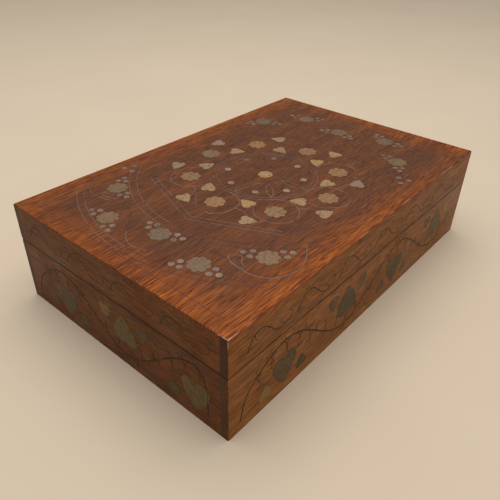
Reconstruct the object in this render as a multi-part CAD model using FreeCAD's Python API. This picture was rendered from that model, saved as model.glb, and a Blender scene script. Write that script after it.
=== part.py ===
import FreeCAD, Part
import math
import os

# Inlaid wooden box. A frame of hardwood boards carries a flush top, a rebated bottom and a lid that is
# sawn free along a seam. Brass flowers, hearts and dots lie in pockets of their own outline.
# X runs along the box, Y from its front to its back, Z up. The origin is the middle of the underside.
# All lengths are in millimetres and all angles in degrees.

# Carcase
box_length = 254.0
box_width = 165.0
box_height = 65.0
lid_height = 23.0  # from the seam to the top
board_thickness = 9.0
top_thickness = 5.0
bottom_thickness = 4.0
bottom_seat = 4.0  # how far the bottom reaches into the boards
corner_lip = 4.75  # what the front and back boards show on the ends of the box
seam_gap = 0.4  # between the closed lid and the base
edge_round = 0.9  # worn edges of the top
corner_round = 0.9  # worn upright corners

# Hinges, let into the rims of the two back boards
hinge_spacing = 142.0  # between the middles of the two hinges
hinge_length = 26.0
axis_inset = 1.5  # from the back of the box to the hinge axis
rim_margin = 1.0  # wood left between a leaf and the inside of the box
leaf_thickness = 1.0
knuckle_diameter = 3.6
knuckle_clearance = 0.25  # around and between knuckles
pin_diameter = 1.8
running_clearance = 0.05  # between the pin and the lid's knuckle
lid_opening_angle = 100.0
stop_slack_angle = 1.0  # left between the bevelled rims when the lid is fully open

# Countersunk screws of the hinges
screw_spacing = 16.0
screw_length = 8.0
screw_head_diameter = 3.0
screw_shank_diameter = 1.6
screw_head_height = 0.7

# Inlay of the lid, set out by compass from the middle of the top
inlay_thickness = 1.0
end_margin = 12.0  # from the ends of the box to the outer circle
side_margin = 26.0  # from the long edges to the middles of the corner flowers, before the layout is turned
layout_x = -1.2  # the middle of the layout, which was set out by eye
layout_y = 0.8
disc_diameter = 9.3
inner_dot_diameter = 4.0
border_dot_diameter = 3.4
flower_diameter = 12.7
flower_lobes = 8
lobe_depth = 1.4
small_heart_width = 9.2
small_heart_length = 10.2
ring_count = 8  # repeats round the middle
triad_offset = 10.4  # from a border flower to the middle of its three dots
triad_radius = 2.8  # from the middle of three dots to each dot
trefoil_radius = 4.0  # from the middle of the three dots at the end of a vine to each dot

# Circles of that layout as shares of its outer circle
inner_dot_share = 0.214
inner_heart_share = 0.338
ring_flower_share = 0.409
outer_heart_share = 0.503
near_flower_share = 0.795
far_flower_share = 0.902
trefoil_share = 0.75

# Angles of that layout, which no two rings share exactly
full_turn = 360.0
half_turn = 180.0
dots_in_triad = 3
ring_step = full_turn / ring_count
inner_dot_angle = 25.4
inner_heart_angle = 23.1
ring_flower_angle = 1.1
outer_heart_angle = 30.2
inner_tip_angle = -125.0  # of a heart's tip from the line out of the middle
outer_tip_angle = 84.0
border_angle = 2.2  # of all the border from the long axis
far_flower_angle = 19.0  # of a border flower from the axis of the border
corner_flower_angle = 38.0
trefoil_angle = -55.0
triad_angle = 70.0  # of the dots from the line that leads away from the vine

# Inlay of the base: a heart and its two leaves fill each half wave of a vine
vine_margin = 13.0  # from the ends of the front and back to the vine
front_waves = 4
end_waves = 3
end_shift = 9.8  # of the pattern on the ends, towards the front
heart_width = 19.8
heart_length = 20.2
heart_shift = 4.9  # above or below the middle of the base
leaf_width = 9.4
leaf_length = 9.4
leaf_gap = 5.0  # from the side of a heart to the middle of a leaf
leaf_shift = 5.1  # of a leaf towards the tip of its heart

# Heart outline: two lobes overlap at the notch, and each passes at its shoulder into a flatter arc to the tip
lobe_share = 0.27  # radius of a lobe as a share of the heart's width
shoulder_angle = 20.0  # from the level of the lobes' middles to the shoulder

# Number of flats that stand for a small round
disc_sides = 20
dot_sides = 6
screw_sides = 8
small_heart_steps = 3
heart_steps = 4
leaf_steps = 2
flank_steps = 2

# Places that follow from the sizes
half_length = box_length / 2
half_width = box_width / 2
seam_height = box_height - lid_height
base_rim = seam_height - seam_gap / 2
lid_rim = seam_height + seam_gap / 2
lid_board_top = box_height - top_thickness
hinge_axis = half_width - axis_inset
hinge_leaf_width = board_thickness - axis_inset - rim_margin
knuckle_radius = knuckle_diameter / 2
gain_radius = knuckle_radius + knuckle_clearance
knuckle_length = (hinge_length - 2 * knuckle_clearance) / 3
screw_inset = (gain_radius + hinge_leaf_width) / 2
stop_bevel_angle = (lid_opening_angle + stop_slack_angle) / 2
corner_sine = math.sin(math.radians(corner_flower_angle))
layout_radius = min(
    half_length - end_margin,
    (half_width - side_margin) / (near_flower_share * corner_sine),
)
hinge_places = {"left": -hinge_spacing / 2, "right": hinge_spacing / 2}
spare = 1.0  # how far a cutting shape stands out of the wood
tolerance = 1e-6

os.makedirs("parts", exist_ok=True)


def save(name, shapes):
    """Write one node, which holds one solid or a group of separate ones."""
    shape = shapes[0] if len(shapes) == 1 else Part.makeCompound(shapes)
    shape.exportStep("parts/" + name + ".step")
    print(name, len(shape.Solids), round(shape.Volume, 1), shape.isValid())


def block(low, high):
    """A box between two corners."""
    low = FreeCAD.Vector(*low)
    size = FreeCAD.Vector(*high) - low
    return Part.makeBox(size.x, size.y, size.z, low)


def bar(radius, start, end, y, z):
    """A round bar along X."""
    return Part.makeCylinder(radius, end - start, FreeCAD.Vector(start, y, z), FreeCAD.Vector(1, 0, 0))


def rounded(shape, radius, chosen):
    """Round the edges for which chosen says yes to their middle and the edge itself."""
    edges = [edge for edge in shape.Edges if chosen(edge.CenterOfMass, edge)]
    return shape.makeFillet(radius, edges)


def at_side(value, limit):
    """Whether a coordinate lies on either outer face."""
    return abs(abs(value) - limit) < tolerance


def is_upright(edge):
    """Whether an edge runs along Z."""
    return abs(edge.BoundBox.ZLength - edge.Length) < tolerance


# Outlines of the inlay, each round the origin of its own plane


def polar(radius, angle):
    """A point in the plane from its radius and angle."""
    return FreeCAD.Vector(radius * math.cos(math.radians(angle)), radius * math.sin(math.radians(angle)), 0)


def round_outline(diameter, sides):
    """A small round, cut with a few flats."""
    return [polar(diameter / 2, full_turn * k / sides) for k in range(sides)]


def flower_outline():
    """A rosette: the points of its petals with a valley between each two."""
    radius = flower_diameter / 2
    step = full_turn / flower_lobes
    points = []
    for k in range(flower_lobes):
        points.append(polar(radius, step * k))
        points.append(polar(radius - lobe_depth, step * (k + 0.5)))
    return points


def heart_outline(width, length, steps):
    """A heart with its tip along -Y: two overlapping round lobes and the flatter flanks that meet them."""
    radius = lobe_share * width
    centre = FreeCAD.Vector(width / 2 - radius, length / 2 - radius, 0)
    tip = FreeCAD.Vector(0, -length / 2, 0)
    to_tip = tip - centre
    notch_rise = math.sqrt(radius ** 2 - centre.x ** 2)
    notch_angle = math.degrees(math.atan2(notch_rise, -centre.x))
    shoulder = polar(1, -shoulder_angle)
    stretch = (to_tip.dot(to_tip) - radius ** 2) / (2 * (radius - to_tip.dot(shoulder)))
    flank_centre = centre - shoulder * stretch
    from_flank_centre = tip - flank_centre
    end_angle = math.degrees(math.atan2(from_flank_centre.y, from_flank_centre.x))
    right = []
    for k in range(1, steps + 1):
        angle = notch_angle - (notch_angle + shoulder_angle) * k / steps
        right.append(centre + polar(radius, angle))
    for k in range(1, flank_steps):
        angle = (end_angle + shoulder_angle) * k / flank_steps - shoulder_angle
        right.append(flank_centre + polar(radius + stretch, angle))
    left = [FreeCAD.Vector(-point.x, point.y, 0) for point in reversed(right)]
    notch = FreeCAD.Vector(0, centre.y + notch_rise, 0)
    return [notch] + right + [tip] + left


def prism(outline):
    """A piece of inlay, from its seat at Z 0 up to its face."""
    face = Part.Face(Part.makePolygon(outline + outline[:1]))
    return face.extrude(FreeCAD.Vector(0, 0, inlay_thickness))


def placed(shape, x, y, turn):
    """A copy of a piece, turned about its own middle and moved in its plane."""
    spin = FreeCAD.Rotation(FreeCAD.Vector(0, 0, 1), turn)
    copy = shape.copy()
    copy.Placement = FreeCAD.Placement(FreeCAD.Vector(x, y, 0), spin)
    return copy


def on_plane(shapes, corner, turn):
    """Carry flat pieces to the face of a board whose pockets start at corner."""
    carried = []
    for shape in shapes:
        copy = shape.copy()
        copy.Placement = FreeCAD.Placement(corner, turn).multiply(copy.Placement)
        carried.append(copy)
    return carried


# Inlay of the lid


def ring(shape, share, start, lean):
    """Repeat a piece round a circle, leaning by an angle from the line out of the middle."""
    pieces = []
    for k in range(ring_count):
        angle = start + ring_step * k
        spot = polar(share * layout_radius, angle)
        pieces.append(placed(shape, spot.x, spot.y, angle + lean))
    return pieces


def border_spots():
    """Each border flower as its place and the angle that leads away from the vine beside it."""
    spots = []
    for end in (border_angle, border_angle + half_turn):
        spots.append((polar(near_flower_share * layout_radius, end), end + half_turn))
        for side in (-1, 1):
            far = end + side * far_flower_angle
            spots.append((polar(far_flower_share * layout_radius, far), far))
            corner = end + side * corner_flower_angle
            spots.append((polar(near_flower_share * layout_radius, corner), corner + half_turn))
    return spots


def three_dots(middle, radius, heading):
    """Three dots round a point, the first of them in the heading."""
    dots = []
    for k in range(dots_in_triad):
        place = middle + polar(radius, heading + full_turn / dots_in_triad * k)
        dots.append(placed(border_dot, place.x, place.y, 0))
    return dots


def border_dots():
    """Two groups of three beside each border flower, and a wider one at either end of the lid."""
    dots = []
    for spot, away in border_spots():
        for heading in (away - triad_angle, away + triad_angle):
            dots += three_dots(spot + polar(triad_offset, heading), triad_radius, heading)
    for end in (border_angle, border_angle + half_turn):
        middle = polar(trefoil_share * layout_radius, end + trefoil_angle)
        dots += three_dots(middle, trefoil_radius, end + trefoil_angle)
    return dots


tip_heading_angle = 90.0  # turns a heart's tip from -Y to the line out of the middle
inner_tip_turn = tip_heading_angle + inner_tip_angle
outer_tip_turn = tip_heading_angle + outer_tip_angle
inner_dot = prism(round_outline(inner_dot_diameter, dot_sides))
border_dot = prism(round_outline(border_dot_diameter, dot_sides))
flower = prism(flower_outline())
small_heart = prism(heart_outline(small_heart_width, small_heart_length, small_heart_steps))
flat_inlay = {
    "lid_centre_disc": [prism(round_outline(disc_diameter, disc_sides))],
    "lid_inner_dots": ring(inner_dot, inner_dot_share, inner_dot_angle, 0),
    "lid_inner_hearts": ring(small_heart, inner_heart_share, inner_heart_angle, inner_tip_turn),
    "lid_ring_flowers": ring(flower, ring_flower_share, ring_flower_angle, 0),
    "lid_outer_hearts": ring(small_heart, outer_heart_share, outer_heart_angle, outer_tip_turn),
    "lid_border_flowers": [placed(flower, spot.x, spot.y, away) for spot, away in border_spots()],
    "lid_border_dots": border_dots(),
}
lid_seat = FreeCAD.Vector(layout_x, layout_y, box_height - inlay_thickness)
lid_inlay = {name: on_plane(shapes, lid_seat, FreeCAD.Rotation()) for name, shapes in flat_inlay.items()}


# Inlay of the base


def leaf_group(x, up, leaf_sides):
    """A heart with a leaf on some of its sides. Up is 1 where the tip of the heart points up."""
    turn = half_turn if up > 0 else 0.0
    group = [placed(heart, x, up * heart_shift, turn)]
    for side in leaf_sides:
        across = x + side * (heart_width / 2 + leaf_gap)
        group.append(placed(leaf, across, up * (heart_shift + leaf_shift), half_turn - turn))
    return group


def front_pattern():
    """Groups along the front or back, hanging from a crest first and standing in a trough next."""
    pitch = (box_length - 2 * vine_margin) / front_waves
    pattern = []
    for k in range(front_waves):
        pattern += leaf_group(pitch * (k - (front_waves - 1) / 2), (-1, 1)[k % 2], (-1, 1))
    return pattern


def end_pattern(front):
    """Groups along an end. Front is the way along the end to the front, where the last leaf has no room."""
    pitch = (box_width - 2 * corner_lip) / end_waves
    pattern = []
    for k in range(end_waves):
        along = pitch * (k - (end_waves - 1) / 2) + end_shift
        leaf_sides = (-front,) if k == end_waves - 1 else (-1, 1)
        pattern += leaf_group(front * along, (-1, 1)[k % 2], leaf_sides)
    return pattern


def facing(turn, reach):
    """Where and how the pattern of one side of the base lies, for the side that faces turn about Z."""
    upright = FreeCAD.Rotation(FreeCAD.Vector(1, 0, 0), 90)
    swing = FreeCAD.Rotation(FreeCAD.Vector(0, 0, 1), turn)
    seat = swing.multVec(FreeCAD.Vector(0, inlay_thickness - reach, base_rim / 2))
    return seat, swing.multiply(upright)


heart = prism(heart_outline(heart_width, heart_length, heart_steps))
leaf = prism(heart_outline(leaf_width, leaf_length, leaf_steps))
base_inlay = {
    "front": on_plane(front_pattern(), *facing(0, half_width)),
    "right": on_plane(end_pattern(-1), *facing(90, half_length)),
    "back": on_plane(front_pattern(), *facing(180, half_width)),
    "left": on_plane(end_pattern(1), *facing(270, half_length)),
}


# Hinges


def knuckle_runs(middle):
    """Where the base's two knuckles and the lid's one lie along X."""
    first = middle - hinge_length / 2
    last = middle + hinge_length / 2
    base_runs = [(first, first + knuckle_length), (last - knuckle_length, last)]
    lid_runs = [(middle - knuckle_length / 2, middle + knuckle_length / 2)]
    return base_runs, lid_runs


def leaf_plate(middle, rim, up):
    """The flat of a leaf, flush with the rim. Up is 1 for the lid, whose wood lies above its rim."""
    low, high = sorted((rim, rim + up * leaf_thickness))
    start = (middle - hinge_length / 2, hinge_axis - hinge_leaf_width, low)
    end = (middle + hinge_length / 2, hinge_axis, high)
    return block(start, end)


def screw_spots(middle):
    """The two screws of a leaf along X."""
    return [middle - screw_spacing / 2, middle + screw_spacing / 2]


def tapered(near, far):
    """A solid with flat sides between two outlines of as many points."""
    outlines = [outline + outline[:1] for outline in (near, far)]
    faces = [Part.Face(Part.makePolygon(outline)) for outline in outlines]
    for k in range(len(near)):
        side = [outlines[0][k], outlines[0][k + 1], outlines[1][k + 1], outlines[1][k], outlines[0][k]]
        faces.append(Part.Face(Part.makePolygon(side)))
    return Part.Solid(Part.Shell(faces))


def screw(x, rim, up):
    """A countersunk screw, from the rim into the wood."""
    def level(diameter, depth):
        place = FreeCAD.Vector(x, hinge_axis - screw_inset, rim + up * depth)
        return [place + point for point in round_outline(diameter, screw_sides)]
    neck = level(screw_shank_diameter, screw_head_height)
    head = tapered(level(screw_head_diameter, 0), neck)
    shank = tapered(neck, level(screw_shank_diameter, screw_length))
    return head.fuse(shank)


def hinge_leaf(middle, rim, up):
    """One leaf with its knuckles, cleared round the other leaf's knuckles, bored and countersunk."""
    base_runs, lid_runs = knuckle_runs(middle)
    own, other = (lid_runs, base_runs) if up > 0 else (base_runs, lid_runs)
    solid = leaf_plate(middle, rim, up)
    for start, end in other:
        clear = bar(gain_radius, start - knuckle_clearance, end + knuckle_clearance, hinge_axis, seam_height)
        solid = solid.cut(clear)
    for start, end in own:
        solid = solid.fuse(bar(knuckle_radius, start, end, hinge_axis, seam_height))
    bore = pin_diameter / 2 + (running_clearance if up > 0 else 0)
    first = middle - hinge_length / 2 - spare
    last = middle + hinge_length / 2 + spare
    solid = solid.cut(bar(bore, first, last, hinge_axis, seam_height))
    solid = solid.cut([screw(x, rim, up) for x in screw_spots(middle)])
    return solid.removeSplitter()


def hinge_pin(middle):
    """The pin, as long as its hinge."""
    first = middle - hinge_length / 2
    last = middle + hinge_length / 2
    return bar(pin_diameter / 2, first, last, hinge_axis, seam_height)


# Boards


def long_board(side, low, high):
    """The front or back board, on the side of Y given, with a rebate at each end for the end boards."""
    outer = side * half_width
    inner = side * (half_width - board_thickness)
    lip = side * (half_width - corner_lip)
    y_low, y_high = sorted((outer, inner))
    solid = block((-half_length, y_low, low), (half_length, y_high, high))
    cut_low, cut_high = sorted((lip, inner - side * spare))
    for end in (-1, 1):
        x_low, x_high = sorted((end * (half_length + spare), end * (half_length - board_thickness)))
        solid = solid.cut(block((x_low, cut_low, low - spare), (x_high, cut_high, high + spare)))
    return solid


def end_board(end, low, high):
    """The left or right board, which lies between the lips of the front and back boards."""
    x_low, x_high = sorted((end * half_length, end * (half_length - board_thickness)))
    across = half_width - corner_lip
    return block((x_low, -across, low), (x_high, across, high))


def at_corner(middle, edge):
    """Whether an edge is an upright corner of the box."""
    return is_upright(edge) and at_side(middle.x, half_length) and at_side(middle.y, half_width)


def corners_rounded(solid):
    """Round the outer upright corners of a board or panel."""
    return rounded(solid, corner_round, at_corner)


def top_rounded(solid):
    """Round the upper edges of the top."""
    def chosen(middle, edge):
        return edge.BoundBox.ZMin > box_height - tolerance
    return rounded(solid, edge_round, chosen)


def hinge_seats(rim, up):
    """All that is cut from a back board for its hinges: stop bevel, gains, leaf beds and screw holes."""
    reach = axis_inset + spare
    fall = reach * math.tan(math.radians(stop_bevel_angle))
    wedge = [
        FreeCAD.Vector(-half_length - spare, hinge_axis, seam_height),
        FreeCAD.Vector(-half_length - spare, hinge_axis + reach, seam_height + up * fall),
        FreeCAD.Vector(-half_length - spare, hinge_axis + reach, seam_height - up * spare),
        FreeCAD.Vector(-half_length - spare, hinge_axis, seam_height - up * spare),
    ]
    face = Part.Face(Part.makePolygon(wedge + wedge[:1]))
    seats = [face.extrude(FreeCAD.Vector(box_length + 2 * spare, 0, 0))]
    for middle in hinge_places.values():
        first = middle - hinge_length / 2
        last = middle + hinge_length / 2
        gain = bar(gain_radius, first - knuckle_clearance, last + knuckle_clearance, hinge_axis, seam_height)
        seats += [gain, leaf_plate(middle, rim, up)]
        seats += [screw(x, rim, up) for x in screw_spots(middle)]
    return seats


# Base
bottom_x = half_length - board_thickness + bottom_seat
bottom_y = half_width - board_thickness + bottom_seat
bottom = block((-bottom_x, -bottom_y, 0), (bottom_x, bottom_y, bottom_thickness))
base_boards = {
    "front": corners_rounded(long_board(-1, 0, base_rim)),
    "back": corners_rounded(long_board(1, 0, base_rim)).cut(hinge_seats(base_rim, -1)),
    "left": end_board(-1, 0, base_rim),
    "right": end_board(1, 0, base_rim),
}
for side, solid in base_boards.items():
    save("base_" + side + "_board", [solid.cut([bottom] + base_inlay[side])])
    save("base_" + side + "_leaf_inlay", base_inlay[side])
save("base_bottom_panel", [bottom])

# Lid
lid_boards = {
    "front": corners_rounded(long_board(-1, lid_rim, lid_board_top)),
    "back": corners_rounded(long_board(1, lid_rim, lid_board_top)).cut(hinge_seats(lid_rim, 1)),
    "left": end_board(-1, lid_rim, lid_board_top),
    "right": end_board(1, lid_rim, lid_board_top),
}
for side, solid in lid_boards.items():
    save("lid_" + side + "_board", [solid])
top = block((-half_length, -half_width, lid_board_top), (half_length, half_width, box_height))
top = top_rounded(corners_rounded(top))
save("lid_top_panel", [top.cut([piece for pieces in lid_inlay.values() for piece in pieces])])
for name, pieces in lid_inlay.items():
    save(name, pieces)

# Hinges
for hand, middle in hinge_places.items():
    save("hinge_" + hand + "_base_leaf", [hinge_leaf(middle, base_rim, -1)])
    save("hinge_" + hand + "_lid_leaf", [hinge_leaf(middle, lid_rim, 1)])
    save("hinge_" + hand + "_pin", [hinge_pin(middle)])
screw_places = [x for middle in hinge_places.values() for x in screw_spots(middle)]
save("base_hinge_screws", [screw(x, base_rim, -1) for x in screw_places])
save("lid_hinge_screws", [screw(x, lid_rim, 1) for x in screw_places])
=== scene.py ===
# %% [markdown]
# # An inlaid rosewood box
# The box is a frame of hardwood boards with a hinged lid. Brass flowers, hearts and dots lie flush in
# its surface, and hair-thin scrollwork joins them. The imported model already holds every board, hinge
# and pocket at its real size, so nothing here moves or resizes it. This lesson adds what the eye reads
# as the real thing: grain and varnish, smooth brass plates, engraved lines, worn edges, light and a
# camera.

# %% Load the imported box
import math
import random

import bmesh
import bpy
from mathutils import Matrix, Quaternion, Vector


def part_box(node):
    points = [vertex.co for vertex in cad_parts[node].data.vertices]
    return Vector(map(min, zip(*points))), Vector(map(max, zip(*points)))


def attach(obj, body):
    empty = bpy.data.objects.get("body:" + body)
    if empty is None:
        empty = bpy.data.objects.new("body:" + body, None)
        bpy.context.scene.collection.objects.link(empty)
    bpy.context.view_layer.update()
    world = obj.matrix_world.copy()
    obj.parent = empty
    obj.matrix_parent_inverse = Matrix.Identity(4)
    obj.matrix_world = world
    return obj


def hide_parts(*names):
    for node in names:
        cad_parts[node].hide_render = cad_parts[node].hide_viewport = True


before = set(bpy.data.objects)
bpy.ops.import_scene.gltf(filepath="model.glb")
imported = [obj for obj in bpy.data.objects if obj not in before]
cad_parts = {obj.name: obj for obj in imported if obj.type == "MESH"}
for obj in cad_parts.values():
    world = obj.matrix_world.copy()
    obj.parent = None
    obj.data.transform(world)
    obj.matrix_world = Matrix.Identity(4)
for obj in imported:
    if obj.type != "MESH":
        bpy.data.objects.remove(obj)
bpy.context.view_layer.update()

# %% [markdown]
# ## Measures
# Every place in this lesson follows from the frame. The top panel spans the whole box, so its corner
# gives half the length, half the width and the height. The rims of the two front boards give the seam,
# and the brass disc marks the point from which the whole top was set out by compass.

# %% Measure the frame
mm = 0.001
half_length, half_width, top_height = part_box("lid_top_panel")[1]
base_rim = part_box("base_front_board")[1].z
lid_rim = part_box("lid_front_board")[0].z
seam_height = (base_rim + lid_rim) / 2
disc_low, disc_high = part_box("lid_centre_disc")
layout_middle = (disc_low + disc_high) / 2
corner_lap = half_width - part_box("base_left_board")[1].y  # how much of a front board's end shows
print("seam at", round(seam_height / mm, 2), "mm, corner lap", round(corner_lap / mm, 2), "mm")

# %% [markdown]
# ## Colours and nodes
# A colour is written as an sRGB hex value, the way a colour picker shows it. Shaders reckon in linear
# light, so one function turns it over. A second function adds a node, sets it, links it and gives back
# an output, so that each material below reads as a short list of what feeds what.

# %% Colour and node helpers
def colour(code):
    """An sRGB hex value as linear red, green, blue and alpha."""
    channels = [int(code[k:k + 2], 16) / 255 for k in (1, 3, 5)]
    linear = [c / 12.92 if c <= 0.04045 else ((c + 0.055) / 1.055) ** 2.4 for c in channels]
    return (*linear, 1.0)


def add(tree, kind, inputs=(), out=0, stops=(), **settings):
    """Add a node with its settings, set or link its inputs, and give back one of its outputs, if any."""
    made = tree.nodes.new("ShaderNode" + kind)
    for name, value in settings.items():
        setattr(made, name, value)
    for socket, value in dict(inputs).items():
        if isinstance(value, bpy.types.NodeSocket):
            tree.links.new(value, made.inputs[socket])
        else:
            made.inputs[socket].default_value = value
    for k, (position, code) in enumerate(stops):
        elements = made.color_ramp.elements
        element = elements[k] if k < 2 else elements.new(position)
        element.position = position
        element.color = colour(code)
    return made.outputs[out] if len(made.outputs) else None


in_colour = {"out": 2, "data_type": "RGBA"}  # for a Mix node of two colours, its inputs 6 and 7


def blank_material(name):
    """A new material with an empty node tree."""
    material = bpy.data.materials.new(name)
    material.use_nodes = True
    material.node_tree.nodes.clear()
    return material, material.node_tree


print("middle grey in linear light:", round(colour("#808080")[0], 3))

# %% [markdown]
# ## Rosewood
# The boards are Indian rosewood, planed and finished with a thin satin varnish. The eye sees long dark
# streaks on a red-brown ground and fine pores along the grain. An unwrapped image could show this, but a
# solid texture is better here: noise stretched along the grain runs through the whole board, so faces
# meet at the edges as they do in real timber.

# %% Grain
along_x = 0.0
along_y = math.radians(-90)  # turns the grain from X to Y
to_millimetres = (1 / mm, 1 / mm, 1 / mm)
sway_length = 90.0  # the trunk's slow sway bends the grain over the length of a hand
sway_reach = 7.0
band_width = 8.0
streak_width = 0.8
fibre_width = 0.4
pore_width = 0.5  # 0.2 on the real wood, and drawn as coarse as it needs to show
tone_stops = (0.32, 0.68, 0.5)  # where the dark, light and middle tone of a wood lie in its figure


def grain(tree, board):
    """Grain along X: the figure that colours the wood, its fibres and its pores."""
    sway = add(tree, "TexNoise", {"Vector": board, "Scale": 1 / sway_length, "Detail": 1.0}, out="Color")
    bend = (0, sway_reach, sway_reach)
    bent = add(tree, "VectorMath", {0: sway, 1: bend, 2: board}, operation="MULTIPLY_ADD")
    # Bands and fibres are thirty times as long as wide, streaks and pores only fourteen times.
    drawn = add(tree, "Mapping", {"Vector": bent, "Scale": (1 / 30, 1, 1)})
    broken = add(tree, "Mapping", {"Vector": bent, "Scale": (1 / 14, 1, 1)})
    bands = add(tree, "TexNoise", {"Vector": drawn, "Scale": 1 / band_width, "Detail": 2.0})
    streaks = add(tree, "TexNoise", {
        "Vector": broken, "Scale": 1 / streak_width, "Detail": 3.0, "Roughness": 0.6})
    fibres = add(tree, "TexNoise", {"Vector": drawn, "Scale": 1 / fibre_width, "Detail": 2.0})
    figure = -0.15
    for layer, weight in ((bands, 0.25), (streaks, 0.55), (fibres, 0.5)):
        figure = add(tree, "Math", {0: layer, 1: weight, 2: figure}, operation="MULTIPLY_ADD")
    pore_noise = add(tree, "TexNoise", {"Vector": broken, "Scale": 1 / pore_width, "Detail": 1.0})
    pores = add(tree, "MapRange", {0: pore_noise, 1: 0.42, 2: 0.30, 4: 0.7})
    return figure, fibres, pores


print("bands, streaks and fibres of", band_width, streak_width, fibre_width, "mm")

# %% [markdown]
# ## Pale rims, stain, wear and painted highlights
# The lid is paler orange along its edges, most of all round its front left corner, and browner farther
# in.
# Handling has paled the edges, and a painted highlight lies along them. Such marks could be painted on by
# hand. They all depend on how far a point lies from the faces of the box, though, so here nodes measure
# that distance, and the marks stay in place on every board.

# %% Distances and pale rims
inner_brown = "#4b372d"
inner_darkening = 0.62  # how far the middle of the lid goes towards that brown


def depths(tree, place):
    """Where a point lies: its coordinates, and how far it is in from the ends, long sides and top."""
    x, y, z = (add(tree, "SeparateXYZ", {0: place}, out=axis) for axis in range(3))
    from_middle = add(tree, "Math", {0: x}, operation="ABSOLUTE")
    from_axis = add(tree, "Math", {0: y}, operation="ABSOLUTE")
    return {
        "x": x, "y": y, "z": z,
        "end": add(tree, "Math", {0: half_length, 1: from_middle}, operation="SUBTRACT"),
        "side": add(tree, "Math", {0: half_width, 1: from_axis}, operation="SUBTRACT"),
        "top": add(tree, "Math", {0: top_height, 1: z}, operation="SUBTRACT"),
    }


def browner_inward(tree, depth, ground):
    """A ground that stays orange along the edges of the lid and goes to a greyish brown farther in."""
    from_left = add(tree, "Math", {0: depth["x"], 1: half_length}, operation="ADD")
    from_front = add(tree, "Math", {0: depth["y"], 1: half_width}, operation="ADD")
    # The pale strips are widest at the front left corner, so the others count as farther in.
    from_end = add(tree, "Math", {0: from_front, 1: 0.07, 2: depth["end"]}, operation="MULTIPLY_ADD")
    from_end = add(tree, "Math", {0: from_left, 1: 0.015, 2: from_end}, operation="MULTIPLY_ADD")
    from_front = add(tree, "Math", {0: from_left, 1: 0.08, 2: from_front}, operation="MULTIPLY_ADD")
    from_back = add(tree, "Math", {0: half_width + 8 * mm, 1: depth["y"]}, operation="SUBTRACT")
    inward = add(tree, "Math", {0: from_end, 1: from_front}, operation="MINIMUM")
    inward = add(tree, "Math", {0: inward, 1: from_back}, operation="MINIMUM")
    inner_share = add(tree, "MapRange", {0: inward, 1: 2 * mm, 2: 36 * mm, 4: inner_darkening},
                    interpolation_type="SMOOTHSTEP")
    return add(tree, "Mix", {0: inner_share, 6: ground, 7: colour(inner_brown)}, **in_colour)


print("lid darkens to", inner_darkening, "of", inner_brown)

# %% Stained rim of the panel
top_tones = ("#431c08", "#b0611f", "#7d3f16")  # each wood as its dark, light and middle tone
front_tones = ("#442810", "#a6682d", "#7e4a1b")
# The end boards are darker partly in their wood and partly by painted shade.
end_tones_and_shade = ("#2e1502", "#7d450b", "#5b2e05")


def rim_stained(tree, figure, depth, ground):
    """A panel's ground with its rim stained like the boards below it; the end rim's tones hold painted
    shade in part.
    """
    facing = add(tree, "TexCoord", out="Normal")
    facing = add(tree, "VectorMath", {0: facing}, operation="ABSOLUTE")
    for axis, tones, top_band in (("Y", front_tones, 1.8 * mm), ("X", end_tones_and_shade, 0.0)):
        rim = add(tree, "SeparateXYZ", {0: facing}, out=axis)
        rim = add(tree, "MapRange", {0: rim, 1: 0.6, 2: 0.9})
        low = add(tree, "MapRange", {0: depth["top"], 1: top_band, 2: top_band + 0.4 * mm})
        rim = add(tree, "Math", {0: rim, 1: low}, operation="MULTIPLY")
        stain = add(tree, "ValToRGB", {"Fac": figure}, stops=zip(tone_stops, tones))
        ground = add(tree, "Mix", {0: rim, 6: ground, 7: stain}, **in_colour)
    return ground


print("rim stained", front_tones[2], "and", end_tones_and_shade[2])

# %% Worn edges and painted highlights
rubbed_highlit_wood = "#ad6a4c"
bared_and_glint_pink = "#d3ab9b"
near_corner = (-half_length, -half_width, top_height)


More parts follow.
